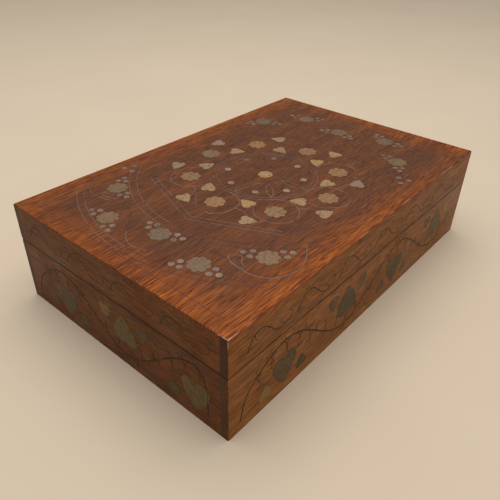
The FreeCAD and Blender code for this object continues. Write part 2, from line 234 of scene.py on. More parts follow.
def worn_highlit_edges(tree, place, board, depth, wood):
    """The wood with edges paled by handling under a painted highlight, the near corner's knocked edges
    with a painted glint, and the mask of the paled edges.
    """
    # The nearest outer edge is as far as the second smallest of the distances to three outer faces.
    nearer = add(tree, "Math", {0: depth["end"], 1: depth["side"]}, operation="MINIMUM")
    farther = add(tree, "Math", {0: depth["end"], 1: depth["side"]}, operation="MAXIMUM")
    third = add(tree, "Math", {0: farther, 1: depth["top"]}, operation="MINIMUM")
    to_edge = add(tree, "Math", {0: nearer, 1: third}, operation="MAXIMUM")
    rub_noise = add(tree, "TexNoise", {"Vector": board, "Scale": 1 / 10, "Detail": 5.0})
    rub_reach = add(tree, "MapRange", {0: rub_noise, 1: 0.4, 2: 0.65, 3: 0.2 * mm, 4: 0.9 * mm})
    inside = add(tree, "Math", {0: rub_reach, 1: to_edge}, operation="SUBTRACT")
    # Painted highlight: the pale rub stands for light on the edges as well as wear, most on the long
    # sides.
    rub_highlight_share = add(tree, "MapRange", {0: depth["side"], 1: 1 * mm, 2: 4 * mm, 3: 0.8, 4: 0.2})
    rub_and_highlight = add(tree, "MapRange", {0: inside, 1: 0.0, 2: 0.5 * mm, 4: rub_highlight_share})
    worn_and_highlit = add(tree, "Mix", {0: rub_and_highlight, 6: wood, 7: colour(rubbed_highlit_wood)}, **in_colour)
    # The edges that meet at the near corner are knocked pale, and a pale pink painted highlight lies on
    # them.
    from_corner = add(tree, "VectorMath", {0: place, 1: near_corner}, out="Value", operation="DISTANCE")
    knock_glint_noise = add(tree, "TexNoise", {"Vector": board, "Scale": 1 / 2.5, "Detail": 2.0})
    knock_glint_reach = add(tree, "MapRange", {0: from_corner, 1: 3 * mm, 2: 14 * mm, 3: 1.0, 4: 0.0})
    knock_glint_edge = add(tree, "MapRange", {0: to_edge, 1: 0.3 * mm, 2: 0.7 * mm, 3: 1.0, 4: 0.0})
    knocks_and_glints = add(tree, "Math", {0: knock_glint_reach, 1: knock_glint_edge}, operation="MULTIPLY")
    knocks_and_glints = add(tree, "Math", {0: knocks_and_glints, 1: knock_glint_noise}, operation="MULTIPLY")
    knocks_and_glints = add(tree, "MapRange", {0: knocks_and_glints, 1: 0.25, 2: 0.45, 4: 0.8})
    worn_and_highlit = add(tree, "Mix", {0: knocks_and_glints, 6: worn_and_highlit, 7: colour(bared_and_glint_pink)}, **in_colour)
    return worn_and_highlit, rub_and_highlight


print("near corner at", [round(place / mm, 1) for place in near_corner], "mm")

# %% Grime and end grain
grime_brown = "#1c0d07"
end_grain_brown = "#281308"
lap_shade = 0.8  # how dark the end grain at the corners is
shade_blur = 0.1 * mm


def darkened(tree, depth, wood, end_shade):
    """The wood with grime along the seam and dark end grain, which drinks more varnish."""
    from_seam = add(tree, "Math", {0: depth["z"], 1: seam_height}, operation="SUBTRACT")
    from_seam = add(tree, "Math", {0: from_seam}, operation="ABSOLUTE")
    grime = add(tree, "MapRange", {0: from_seam, 1: 1.1 * mm, 2: 0.2 * mm, 4: 0.55})
    grimy = add(tree, "Mix", {0: grime, 6: wood, 7: colour(grime_brown)}, **in_colour)
    lap = {1: corner_lap + shade_blur, 2: corner_lap - shade_blur, 3: end_shade, 4: lap_shade}
    corner_shade = add(tree, "MapRange", {0: depth["side"], **lap})
    at_end = add(tree, "MapRange", {0: depth["end"], 1: 0.5 * mm, 2: 0.1 * mm, 4: corner_shade})
    return add(tree, "Mix", {0: at_end, 6: grimy, 7: colour(end_grain_brown)}, **in_colour)


print("end grain", lap_shade, "of the way to", end_grain_brown)

# %% [markdown]
# ## Boards
# A material could serve all boards, but then every side would show the same streaks. The lid was sawn
# free of the base, so the boards of one side share one material, and their grain runs on across the
# seam. The varnish has gone satin and is smoother where hands rub it.

# %% Rosewood on every board
pore_brown = "#1d0d07"


def rosewood(name, turn, offset, tones, end_shade, panel=False):
    """Rosewood of one side, with its end grain shaded, and with pale rims where it is a panel."""
    material, tree = blank_material(name)
    place = add(tree, "TexCoord", out="Object")
    board = add(tree, "Mapping", {
        "Vector": place, "Location": offset, "Rotation": (0, 0, turn), "Scale": to_millimetres})
    figure, fibres, pores = grain(tree, board)
    depth = depths(tree, place)
    ground = add(tree, "ValToRGB", {"Fac": figure}, stops=zip(tone_stops, tones))
    if panel:
        ground = browner_inward(tree, depth, ground)
        ground = rim_stained(tree, figure, depth, ground)
    pored = add(tree, "Mix", {0: pores, 6: ground, 7: colour(pore_brown)}, **in_colour)
    worn_and_highlit, rub_and_highlight = worn_highlit_edges(tree, place, board, depth, pored)
    seen = darkened(tree, depth, worn_and_highlit, end_shade)
    sheen_noise = add(tree, "TexNoise", {"Vector": board, "Scale": 1 / 18, "Detail": 4.0})
    gloss = add(tree, "MapRange", {0: sheen_noise, 1: 0.3, 2: 0.7, 3: 0.36, 4: 0.52})
    gloss = add(tree, "Math", {0: rub_and_highlight, 1: -0.12, 2: gloss}, operation="MULTIPLY_ADD")
    relief = add(tree, "Math", {0: pores, 1: -0.8, 2: fibres}, operation="MULTIPLY_ADD")
    surface = add(tree, "Bump", {"Height": relief, "Strength": 0.35, "Distance": 0.12 * mm}, out="Normal")
    shader = add(tree, "BsdfPrincipled", {
        "Base Color": seen, "Roughness": gloss, "Normal": surface,
        "IOR": 1.45, "Specular IOR Level": 0.18})
    add(tree, "OutputMaterial", {"Surface": shader})
    return material


def dress(node, finish):
    """Give a node of the frame one finish."""
    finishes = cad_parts[node].data.materials
    finishes.clear()
    finishes.append(finish)


dress("lid_top_panel", rosewood("rosewood_top", along_x, (0, 0, 0), top_tones, 0.0, panel=True))
dress("base_bottom_panel", rosewood("rosewood_bottom", along_x, (15, 500, 0), end_tones_and_shade, 0.0))
for side, turn, offset, tones, end_shade in (
        ("front", along_x, (60, 90, 0), front_tones, 0.7),
        ("back", along_x, (-80, -210, 40), front_tones, 0.7),
        # The ends take the darker tones, which hold painted shade in part.
        ("left", along_y, (20, 300, 0), end_tones_and_shade, 0.0),
        ("right", along_y, (-30, -400, 10), end_tones_and_shade, 0.0)):
    timber = rosewood("rosewood_" + side, turn, offset, tones, end_shade)
    dress("base_" + side + "_board", timber)
    dress("lid_" + side + "_board", timber)
    print(timber.name, "has", len(timber.node_tree.nodes), "nodes")

# %% [markdown]
# ## Brass, bright and tarnished
# The plates are sheet brass, sawn out, let in and sanded flush with the wood, then left to age under
# handling. Rubbed pieces stay golden, others turn coppery or grey, and on the sides a brown film hides
# most of the shine. One function makes them all from two colours, so that the pieces still look like one
# metal. Each plate carries a number in its mesh, its tone, which moves it between the two colours.

# %% Brass
blotch_width = 3.5
scratch_width = 0.4  # real sanding scratches are far finer than a pixel
speck_width = 1.6  # coarser than the real specks, so that they show
speck_brown = "#5d4a36"
silver_grey = "#a89080"


def brass(name, bright, dull, metallic, roughness):
    """Aged sheet brass that goes from bright to dull by plate and in blotches."""
    material, tree = blank_material(name)
    place = add(tree, "TexCoord", out="Object")
    sheet = add(tree, "Mapping", {"Vector": place, "Scale": to_millimetres})
    blotches = add(tree, "TexNoise", {
        "Vector": sheet, "Scale": 1 / blotch_width, "Detail": 4.0, "Roughness": 0.6})
    tone = add(tree, "Attribute", out="Fac", attribute_name="tone")
    sanded = add(tree, "Mapping", {"Vector": sheet, "Rotation": (0, 0, 0.6), "Scale": (1 / 9, 1, 1)})
    scratches = add(tree, "TexNoise", {"Vector": sanded, "Scale": 1 / scratch_width, "Detail": 2.0})
    film = tone
    for layer, weight in ((blotches, 1.2), (scratches, 0.9)):
        film = add(tree, "Math", {0: layer, 1: weight, 2: film}, operation="MULTIPLY_ADD")
    film = add(tree, "MapRange", {0: film, 1: 0.9, 2: 1.9})
    seen = add(tree, "Mix", {0: film, 6: colour(bright), 7: colour(dull)}, **in_colour)
    # Specks of tarnish pit the shine, and a plate whose tone passes 1 has lost its gold.
    specks = add(tree, "TexNoise", {
        "Vector": sheet, "Scale": 1 / speck_width, "Detail": 3.0, "Roughness": 0.7})
    pitted = add(tree, "MapRange", {0: specks, 1: 0.48, 2: 0.66, 4: 0.6})
    seen = add(tree, "Mix", {0: pitted, 6: seen, 7: colour(speck_brown)}, **in_colour)
    silvered = add(tree, "MapRange", {0: tone, 1: 1.0, 2: 2.0})
    seen = add(tree, "Mix", {0: silvered, 6: seen, 7: colour(silver_grey)}, **in_colour)
    gloss = add(tree, "Math", {0: scratches, 1: 0.16, 2: roughness - 0.08}, operation="MULTIPLY_ADD")
    surface = add(tree, "Bump", {
        "Height": scratches, "Strength": 0.3, "Distance": 0.05 * mm}, out="Normal")
    shader = add(tree, "BsdfPrincipled", {
        "Base Color": seen, "Metallic": metallic, "Roughness": gloss, "Normal": surface})
    add(tree, "OutputMaterial", {"Surface": shader})
    return material


metals = {name: brass(name, *look) for name, look in {
    "bright_brass": ("#d2aa73", "#b59c82", 0.7, 0.42),
    "toned_brass": ("#b68961", "#927b66", 0.65, 0.48),
    "greyed_brass": ("#a48361", "#8b7765", 0.7, 0.45),
    "pale_brass": ("#c6b09c", "#8f7e76", 0.75, 0.42),
    "tarnished_brass": ("#8f7238", "#463617", 0.45, 0.5),
    "hinge_brass": ("#c9a35a", "#8a6c3a", 0.95, 0.38),
}.items()}
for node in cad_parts:
    if node.startswith("hinge_"):
        dress(node, metals["hinge_brass"])
print("metals:", ", ".join(metals))

# %% [markdown]
# ## Reading the pockets
# Each inlay node of the frame is a group of simple flat-sided plates. Their places could be typed in
# again, but then two files would have to agree. Instead the plates are read from the node: its mesh is
# merged and walked from vertex to vertex, which separates the plates, and each plate gives its middle,
# its size and the way its tip points.

# %% Read plates from a node
same_level = 0.01 * mm  # points nearer than this lie in one plane


def separate_points(node):
    """The separate solids of a CAD node, each as a list of its corner points."""
    mesh = bmesh.new()
    mesh.from_mesh(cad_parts[node].data)
    bmesh.ops.remove_doubles(mesh, verts=mesh.verts, dist=0.001 * mm)
    groups = []
    seen = set()
    for start in mesh.verts:
        if start in seen:
            continue
        seen.add(start)
        group = [start]
        for vert in group:
            for edge in vert.link_edges:
                other = edge.other_vert(vert)
                if other not in seen:
                    seen.add(other)
                    group.append(other)
        groups.append([vert.co.copy() for vert in group])
    mesh.free()
    return groups


def outward(node):
    """The way out of the box through the face that a flat node lies in."""
    low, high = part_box(node)
    size = high - low
    axis = min(range(3), key=lambda k: size[k])
    way = Vector((0, 0, 0))
    way[axis] = 1.0 if (low + high)[axis] > 0 else -1.0
    return way


def plates(node):
    """The way out of a node's face, and each plate as its middle, its tip's heading, length and width."""
    normal = outward(node)
    found = []
    for points in separate_points(node):
        level = max(point.dot(normal) for point in points)
        rim = [point for point in points if point.dot(normal) > level - same_level]
        mean = sum(rim, Vector()) / len(rim)
        tip = max(rim, key=lambda point: (point - mean).length)
        heading = (tip - mean).normalized()
        side = heading.cross(normal)
        lengths = [point.dot(heading) for point in rim]
        widths = [point.dot(side) for point in rim]
        middle = tip + heading * (min(lengths) - max(lengths)) / 2
        found.append((middle, heading, max(lengths) - min(lengths), max(widths) - min(widths)))
    return normal, found


for node in ("lid_inner_hearts", "lid_ring_flowers", "base_front_leaf_inlay"):
    print(node, "has", len(plates(node)[1]), "plates")

# %% [markdown]
# ## Brass plates
# The real plates have smooth outlines, a faint crown where sanding rounded them, and a soft rim. A heart
# starts as one vertex at the notch, which is spun round a lobe and then round a wider arc to the tip. Its
# mirror image closes it. A flower starts as a circle whose vertices are pulled in between the petals.
# Each outline is then filled, given its thickness and crowned by two insets, and copied to every place
# that the frame gives.

# %% Outlines
lobe_share = 0.27  # radius of a heart's lobe as a share of its width, as in the frame
shoulder_angle = math.radians(20)  # where a lobe passes into the flatter arc to the tip
petal_depth = 0.11  # how far the valleys of a flower reach in, as a share of its diameter
petal_count = 8
petal_roundness = 0.6  # under 1, the petals are broad and the valleys sharp


def heart_outline(mesh, length, width):
    """A closed loop of edges: a heart with its tip along +Y."""
    radius = lobe_share * width
    lobe = Vector((width / 2 - radius, radius - length / 2, 0))
    notch_fall = math.sqrt(radius ** 2 - lobe.x ** 2)
    to_tip = Vector((0, length / 2, 0)) - lobe
    shoulder = Vector((math.cos(shoulder_angle), math.sin(shoulder_angle), 0))
    stretch = (to_tip.length_squared - radius ** 2) / (2 * (radius - to_tip.dot(shoulder)))
    flank = lobe - shoulder * stretch
    notch = mesh.verts.new((0, lobe.y - notch_fall, 0))
    lobe_turn = shoulder_angle - math.atan2(-notch_fall, -lobe.x)
    spun = bmesh.ops.spin(mesh, geom=[notch], cent=lobe, axis=(0, 0, 1), angle=lobe_turn, steps=18)
    last = [part for part in spun["geom_last"] if isinstance(part, bmesh.types.BMVert)]
    tip = Vector((0, length / 2, 0)) - flank
    flank_turn = math.atan2(tip.y, tip.x) - shoulder_angle
    bmesh.ops.spin(mesh, geom=last, cent=flank, axis=(0, 0, 1), angle=flank_turn, steps=8)
    bmesh.ops.mirror(mesh, geom=mesh.verts[:] + mesh.edges[:], merge_dist=0.01 * mm, axis="X")


def flower_outline(mesh, length, width):
    """A closed loop of edges: a rosette with a petal along +Y."""
    radius = max(length, width) / 2
    bmesh.ops.create_circle(mesh, segments=petal_count * 12, radius=radius)
    for vert in mesh.verts:
        turn = math.atan2(vert.co.x, vert.co.y)
        bulge = abs(math.cos(petal_count / 2 * turn)) ** petal_roundness
        vert.co *= 1 - 2 * petal_depth * (1 - bulge)


def round_outline(mesh, length, width):
    """A closed loop of edges: a round."""
    bmesh.ops.create_circle(mesh, segments=32, radius=max(length, width) / 2)


print("flowers of", petal_count, "petals")

# %% Crowned plates
plate_depth = 0.8 * mm
crown_insets = ((0.12 * mm, 0.03 * mm), (0.5 * mm, 0.02 * mm))  # how far in, and how far up from there


def plate(outline, length, width):
    """One crowned plate about the origin, with its face towards +Z."""
    mesh = bmesh.new()
    outline(mesh, length, width)
    bmesh.ops.contextual_create(mesh, geom=mesh.edges[:])
    bmesh.ops.recalc_face_normals(mesh, faces=mesh.faces[:])
    if mesh.faces[:][0].normal.z < 0:
        bmesh.ops.reverse_faces(mesh, faces=mesh.faces[:])
    face = mesh.faces[:]
    for inset, rise in crown_insets:
        bmesh.ops.inset_region(mesh, faces=face, thickness=inset, depth=rise, use_even_offset=True)
    rim = [edge for edge in mesh.edges if edge.is_boundary]
    wall = bmesh.ops.extrude_edge_only(mesh, edges=rim)["geom"]
    lowered = [part for part in wall if isinstance(part, bmesh.types.BMVert)]
    bmesh.ops.translate(mesh, verts=lowered, vec=(0, 0, -plate_depth))
    bmesh.ops.contextual_create(mesh, geom=[edge for edge in mesh.edges if edge.is_boundary])
    bmesh.ops.recalc_face_normals(mesh, faces=mesh.faces[:])
    return mesh


def pour(shape, joined):
    """Move one shape into a joined one, and give back the faces that it becomes there."""
    draft = bpy.data.meshes.new("draft")
    shape.to_mesh(draft)
    shape.free()
    before = len(joined.faces)
    joined.from_mesh(draft)
    bpy.data.meshes.remove(draft)
    joined.faces.ensure_lookup_table()
    return joined.faces[before:]


def place_piece(name, mesh, finish, body):
    """A mesh with its finish as a piece that rides on a body."""
    mesh.materials.clear()
    mesh.materials.append(finish)
    piece = bpy.data.objects.new(name, mesh)
    bpy.context.scene.collection.objects.link(piece)
    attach(piece, body)
    return piece


def stand_in(name, shape, finish, body, node):
    """A joined shape as the piece that stands for a node, in its metal."""
    mesh = bpy.data.meshes.new(name)
    shape.to_mesh(mesh)
    shape.free()
    piece = place_piece(name, mesh, finish, body)
    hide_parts(node)
    print(name, len(mesh.polygons), "faces")


print("plates", round(plate_depth / mm, 2), "mm deep")

# %% Plates in their pockets
plate_rise = 0.05 * mm  # how far the rim stands out of the wood
plate_tilt = math.radians(0.25)  # hand-laid plates never lie quite level
dice = random.Random(11)
mark_reach = 6  # millimetres
lid_face = top_height / mm
front_face = -half_width / mm
left_face = -half_length / mm
# Plates that are brighter or greyer than the rest, two of them brightened as a painted highlight: a place
# near the middle of each, and its tone.
marked_tones_and_glints = [
    ((27.9, -49.2, lid_face), 1.9), ((-16.5, 36.6, lid_face), 0.9), ((-2.1, 47.8, lid_face), 0.75),
    ((-30.1, 50.1, lid_face), 0.9), ((13.6, 55.7, lid_face), 0.9), ((49.9, 29.7, lid_face), 0.6),
    ((8.0, 23.9, lid_face), 0.8), ((20.5, 11.4, lid_face), 0.7),
    # Painted highlight: these two front leaves are made bright to stand for their glint.
    ((-100.6, front_face, 11), -0.1), ((101.6, front_face, 29), -0.1),
    ((left_face, -10, 26), 0.65), ((left_face, 4, 30), 0.4), ((left_face, -26, 32), 0.9)]


def inlay(name, node, outline, metal, tones, body):
    """All plates of one node as one piece that stands for it."""
    normal, places = plates(node)
    joined = bmesh.new()
    tone = joined.faces.layers.float.new("tone")
    for middle, heading, length, width in places:
        one = plate(outline, length, width)
        turn = Matrix((heading.cross(normal), heading, normal)).transposed().to_4x4()
        lean = Matrix.Rotation(dice.uniform(-plate_tilt, plate_tilt), 4, "X")
        sway = Matrix.Rotation(dice.uniform(-plate_tilt, plate_tilt), 4, "Y")
        lift = Matrix.Translation(middle + normal * plate_rise)
        bmesh.ops.transform(one, matrix=lift @ turn @ lean @ sway, verts=one.verts)
        shade = dice.uniform(*tones)
        for spot, marked_tone in marked_tones_and_glints:
            if (middle / mm - Vector(spot)).length < mark_reach:
                shade = marked_tone
        for face in pour(one, joined):
            face[tone] = shade
    stand_in(name, joined, metals[metal], body, node)


for name, outline, metal, tones in (
        ("centre_disc", round_outline, "bright_brass", (0.0, 0.1)),
        ("inner_dots", round_outline, "pale_brass", (-0.3, 0.3)),
        ("inner_hearts", heart_outline, "bright_brass", (0.0, 0.6)),
        ("ring_flowers", flower_outline, "toned_brass", (0.0, 0.5)),
        ("outer_hearts", heart_outline, "bright_brass", (0.0, 0.6)),
        ("border_flowers", flower_outline, "greyed_brass", (0.3, 0.9)),
        ("border_dots", round_outline, "pale_brass", (0.4, 0.9))):
    inlay(name, "lid_" + name, outline, metal, tones, "lid")
metal = "tarnished_brass"
for side in ("front", "back", "left", "right"):
    node = "base_" + side + "_leaf_inlay"
    inlay(side + "_leaves", node, heart_outline, metal, (0.6, 0.95), "base")

# %% [markdown]
# ## Strokes
# The scrollwork is a hair wide: fine wire beaten into cuts on the lid, and dark engraved stems on the
# sides. Grooves could be cut with booleans, but hundreds of them would wreck the clean boards. Each
# stroke is instead a curve with a round bevel, flattened until it stands a twentieth of a millimetre out
# of the wood, so it catches light like the real line and is a closed mesh of its own. Strokes are drawn
# in millimetres on the flat of a face and carried there.

# %% Faces and strokes
stroke_flatness = 0.2  # height of a stroke as a share of its width
stroke_step = 1.5  # millimetres to a straight step of a stroke, so hooks keep few faces
most_steps = 5  # between two points of a stroke


def face_matrix(origin, right, up):
    """Carries flat work in millimetres to a face of the box."""
    right = Vector(right)
    up = Vector(up)
    turn = Matrix((right, up, right.cross(up))).transposed().to_4x4()
    return Matrix.Translation(origin) @ turn @ Matrix.Scale(mm, 4)


faces = {
    "top": face_matrix((layout_middle.x, layout_middle.y, top_height), (1, 0, 0), (0, 1, 0)),
    "front": face_matrix((0, -half_width, 0), (1, 0, 0), (0, 0, 1)),
    "back": face_matrix((0, half_width, 0), (-1, 0, 0), (0, 0, 1)),
    "left": face_matrix((-half_length, 0, 0), (0, -1, 0), (0, 0, 1)),
    "right": face_matrix((half_length, 0, 0), (0, 1, 0), (0, 0, 1)),
}


def stroke(points, width, taper=0.0, closed=False, straight=False):
    """One stroke for engrave: points, width, taper, and whether it closes or runs straight."""
    return (points, width, taper, closed, straight)


def engrave(name, face, strokes, body, finish):
    """Lay strokes on a face as one piece."""
    curve = bpy.data.curves.new(name, "CURVE")
    curve.dimensions = "3D"
    curve.twist_mode = "Z_UP"
    curve.bevel_depth = 1.0
    curve.bevel_resolution = 1
    curve.use_fill_caps = True
    for points, width, taper, closed, straight in strokes:
        spline = curve.splines.new("BEZIER")
        spline.bezier_points.add(len(points) - 1)
        spline.use_cyclic_u = closed
        steps = round((points[1] - points[0]).length / stroke_step)
        spline.resolution_u = min(most_steps, max(1, steps))
        handles = "VECTOR" if straight else "AUTO"
        for k, (knot, point) in enumerate(zip(spline.bezier_points, points)):
            knot.co = (*point, 0)
            knot.handle_left_type = handles
            knot.handle_right_type = handles
            knot.radius = width / 2 * (1 - taper * k / (len(points) - 1))
    draft = bpy.data.objects.new(name, curve)
    mesh = bpy.data.meshes.new_from_object(draft)
    bpy.data.objects.remove(draft)
    mesh.transform(faces[face] @ Matrix.Diagonal((1, 1, stroke_flatness, 1)))
    mesh.name = name
    place_piece(name, mesh, finish, body)
    print(name, len(strokes), "strokes,", len(mesh.polygons), "faces")


print("faces:", ", ".join(faces))

# %% Points for strokes
def polar(radius, angle, middle=Vector((0, 0))):
    """A point of the flat work by its radius and angle about a middle."""
    turn = math.radians(angle)
    return middle + Vector((radius * math.cos(turn), radius * math.sin(turn)))


def arc(radius, start, end, step=7.5):
    """Points round the middle of the layout."""
    count = max(2, round(abs(end - start) / step))
    return [polar(radius, start + (end - start) * k / count) for k in range(count + 1)]


def curl(foot, heading, size, hand, turns=0.85, steps=9):
    """A tendril: it leaves its foot in a wide bow and winds up more tightly at each step."""
    points = [foot]
    for k in range(steps):
        share = k / (steps - 1)
        heading += hand * 360 * turns * (0.4 + 1.2 * share) / steps
        points.append(points[-1] + polar(size * (1.3 - share) / steps * 2, heading))
    return points


def flat_middles(node):
    """The middles of a node's plates on the lid, in millimetres about the middle of the layout."""
    return [(found[0].xy - layout_middle.xy) / mm for found in plates(node)[1]]


print("ring flowers at", [round(spot.length, 1) for spot in flat_middles("lid_ring_flowers")], "mm")

# %% [markdown]
# ## Line finishes
# The wire on the lid has gone grey and catches the light in places, while the engraved stems on the sides
# hold dark wax. Both could be one even colour, but wear is uneven, so each mixes two colours by a broad
# noise, and a finer noise breaks the line. On the wire the brighter colour is partly a painted highlight.
# The lines fade towards the right end and the back.

# %% Wire and wax
patch_width = 14 * mm
chip_width = 2.5 * mm


def line_finish(name, strong_and_glint, faint, metallic, shine):
    """The finish of thin lines, full in some places and faint in others; on wire the full colour is
    partly a painted glint.
    """
    material, tree = blank_material(name)
    place = add(tree, "TexCoord", out="Object")
    patches = add(tree, "TexNoise", {
        "Vector": place, "Scale": 1 / patch_width, "Detail": 4.0, "Roughness": 0.65})
    x, y = (add(tree, "SeparateXYZ", {0: place}, out=axis) for axis in range(2))
    chips = add(tree, "TexNoise", {"Vector": place, "Scale": 1 / chip_width, "Detail": 2.0})
    fade_and_glint = patches
    for layer, weight in ((x, 0.8), (y, 0.6), (chips, 0.4)):
        fade_and_glint = add(tree, "Math", {0: layer, 1: weight, 2: fade_and_glint}, operation="MULTIPLY_ADD")
    fade_and_glint = add(tree, "MapRange", {0: fade_and_glint, 1: 0.66, 2: 0.84})
    # Painted highlight in part: on wire the first colour stands for glints as well as unfaded wire.
    seen = add(tree, "Mix", {0: fade_and_glint, 6: colour(strong_and_glint), 7: colour(faint)}, **in_colour)
    gloss = add(tree, "MapRange", {0: patches, 1: 0.3, 2: 0.7, 3: 0.4, 4: 0.6})
    shader = add(tree, "BsdfPrincipled", {
        "Base Color": seen, "Metallic": metallic, "Roughness": gloss, "Specular IOR Level": shine})
    add(tree, "OutputMaterial", {"Surface": shader})
    return material


grey_wire = line_finish("greyed_wire", "#85726b", "#583d34", 0.25, 0.5)
ruled_wire = line_finish("ruled_wire", "#786560", "#50362f", 0.25, 0.4)
worn_wire = line_finish("worn_wire", "#4c383b", "#4d2c1f", 0.1, 0.3)
dark_wax = line_finish("dark_wax", "#32200e", "#67431f", 0.0, 0.15)
worn_wax = line_finish("worn_wax", "#45270d", "#542f10", 0.0, 0.15)
print("lines fade in patches of", round(patch_width / mm), "mm")

# %% [markdown]
# ## Scrollwork of the lid
# The pattern was set out with a compass about the brass disc: a double circle, an octagon of double
# lines, and double arcs at both ends, inside a plain ruled border. Between them grow a rosette of eight
# slender petals, eight spiral tendrils round the ring flowers, and a waving vine at either end. The
# strokes could be traced one by one, but most follow a rule, so the rule draws them. Those that wear has
# dulled form a piece of their own with a fainter finish.

# %% Circles, octagon and border
line_width = 0.45
inner_radii = (30.5, 33.0)
octagon_radii = (68.0, 71.5)
end_radii = (80.0, 84.5, 111.0, 115.0)
end_reach = 72.5  # how far the arcs of the ends go to either side of the long axis
border_inset = 8.5
right_flowers = [spot for spot in flat_middles("lid_border_flowers") if spot.x > 0]
right_flower = min(right_flowers, key=lambda spot: abs(spot.y))
# The outer pattern sits slightly askew.
border_turn = math.degrees(math.atan2(right_flower.y, right_flower.x))

ruled = [stroke(arc(radius, 0, 345, 15), line_width, closed=True) for radius in inner_radii]
faded = []
for radius in octagon_radii:
    corners = [polar(radius, 45 * k + border_turn) for k in range(9)]
    ruled.append(stroke(corners[3:6], line_width, straight=True))
    faded.append(stroke(corners[:4], line_width, straight=True))
    faded.append(stroke(corners[5:], line_width, straight=True))
for end, kept in ((0, faded), (180, ruled)):
    for radius in end_radii:
        widest = math.degrees(math.asin(min(1.0, end_reach / radius)))
        kept.append(stroke(arc(radius, end - widest, end), line_width))
        faded.append(stroke(arc(radius, end, end + widest), line_width))
across = half_length / mm - border_inset
deep = half_width / mm - border_inset
shift = layout_middle.xy / mm
corner_signs = ((-1, -1), (1, -1), (1, 1), (-1, 1))
border = [Vector((a * across, b * deep)) - shift for a, b in corner_signs]
faded.append(stroke(border, line_width, closed=True, straight=True))
engrave("ruled_lines", "top", ruled, "lid", ruled_wire)
engrave("faded_lines", "top", faded, "lid", worn_wire)

# %% Tendrils and petals
fine_width = 0.4
best_kept = 225  # the way to the near corner, where the wire shows best
# A tendril and its branch as angles from the line out of the middle, and distances from their flower.
tendril_points = [(185, 15.0), (137, 14.5), (102, 13.6), (62, 13.2), (23, 12.7), (-13, 12.0), (-57, 11.2),
                  (-75, 12.2), (-116, 13.5)]
branch_points = [(100, 13.7), (97, 19.0), (90, 24.0)]
tendril_curls = ((20, 40, 4.0, 1), (140, 10, 3.5, -1), (-50, 60, 3.5, 1))  # start, lean, size and hand
petal_points = ((0, 30.0), (4.5, 24.0), (5.5, 18.0), (0, 12.5))
scrolls = []
worn_scrolls = []
for flower in flat_middles("lid_ring_flowers"):
    out = math.degrees(math.atan2(flower.y, flower.x))
    nearness = math.cos(math.radians(out - best_kept))
    kept = scrolls if nearness > -0.5 else worn_scrolls
    for points in (tendril_points, branch_points):
        kept.append(stroke([polar(r, out + a, flower) for a, r in points], line_width, 0.3))
    for start, lean, size, hand in tendril_curls:
        foot = polar(12.6, out + start, flower)
        kept.append(stroke(curl(foot, out + start + lean, size, hand), line_width, 0.5))
    kept = scrolls if nearness > 0.5 else worn_scrolls
    for side in (-1, 1):
        petal = [polar(r, out + side * a) for a, r in petal_points]
        kept.append(stroke(petal, line_width, 0.4))
        foot = polar(13.0, out + side * 14)
        kept.append(stroke(curl(foot, out + side * 70, 3.0, side), fine_width, 0.5))
print(len(scrolls), "clear strokes and", len(worn_scrolls), "worn ones")

# %% Sprigs and end vines
# Sprigs fill the hollow where a vine ends: a stem, a hooked leaf, a side shoot and two free curls.
sprigs = [
    [(-85.0, -56.6), (-85.2, -50.0), (-83.4, -44.6), (-80.9, -42.9)],
    [(-83.8, -55.8), (-81.7, -51.6), (-78.0, -49.1), (-78.1, -45.8), (-80.9, -44.6)],
    [(-85.0, -56.6), (-88.0, -53.7), (-90.5, -50.8)],
    [(-95.0, -56.6), (-93.4, -55.4), (-91.3, -55.8), (-92.1, -57.9)],
    [(-82.5, -73.2), (-80.0, -74.2), (-77.6, -72.6), (-78.4, -70.4)],
]
clear_sprigs = 2  # how many of them still show at the left end
for hand_x, hand_y in ((1, 1), (-1, -1), (1, -1), (-1, 1)):
    for k, sprig in enumerate(sprigs):
        kept = scrolls if hand_x > 0 and k < clear_sprigs else worn_scrolls
        kept.append(stroke([Vector((hand_x * a, hand_y * b)) for a, b in sprig], line_width, 0.4))
vine_radius = 99
vine_swing = 9
vine_width = 0.32
vine_ends = ((81.5, 54.3), (93.7, 51.5))  # radius, and angle to either side of the long axis
clear_runs = ((3, 8), (12, 16), (21, 29))  # points of the left vine that wear has spared
for end in (0, 180):
    lead_in = [polar(radius, end - angle) for radius, angle in vine_ends]
    lead_out = [polar(radius, end + angle) for radius, angle in reversed(vine_ends)]
    waves = [polar(vine_radius + vine_swing * math.cos(math.radians(36.8 * k)), end + 1 + 4 * k)
             for k in range(-12, 13)]
    vine = lead_in + waves + lead_out
    worn_scrolls.append(stroke(vine, vine_width))
    if end == 180:
        scrolls += [stroke(vine[first:last], fine_width) for first, last in clear_runs]
    for k in range(-4, 5):
        turn = end + border_turn + 12 * k
        foot = polar(vine_radius + vine_swing * math.cos(math.radians(120 * k)), turn)
        shoot = curl(foot, turn + 90 + 60 * (k % 3), 5.0, (-1) ** k)
        worn_scrolls.append(stroke(shoot, line_width, 0.5))
engrave("lid_scrolls", "top", scrolls, "lid", grey_wire)
engrave("worn_lid_scrolls", "top", worn_scrolls, "lid", worn_wire)

# %% [markdown]
# ## Vines of the sides
# A vine waves along each side of the base, over the hearts that hang and under those that stand, and a
# smaller scroll runs along the sides of the lid. Little hooks fill the hollows. All could be drawn by
# hand, but it repeats, so it is worked out from a wave.

# %% Waves, hooks and running scrolls
hook_width = 0.55
hooks_per_half_wave = 11
lid_level = 52.1
lid_rise = 4.6
lid_pitch = 36.7
scroll_width = 0.75
scroll_hook_width = 0.5
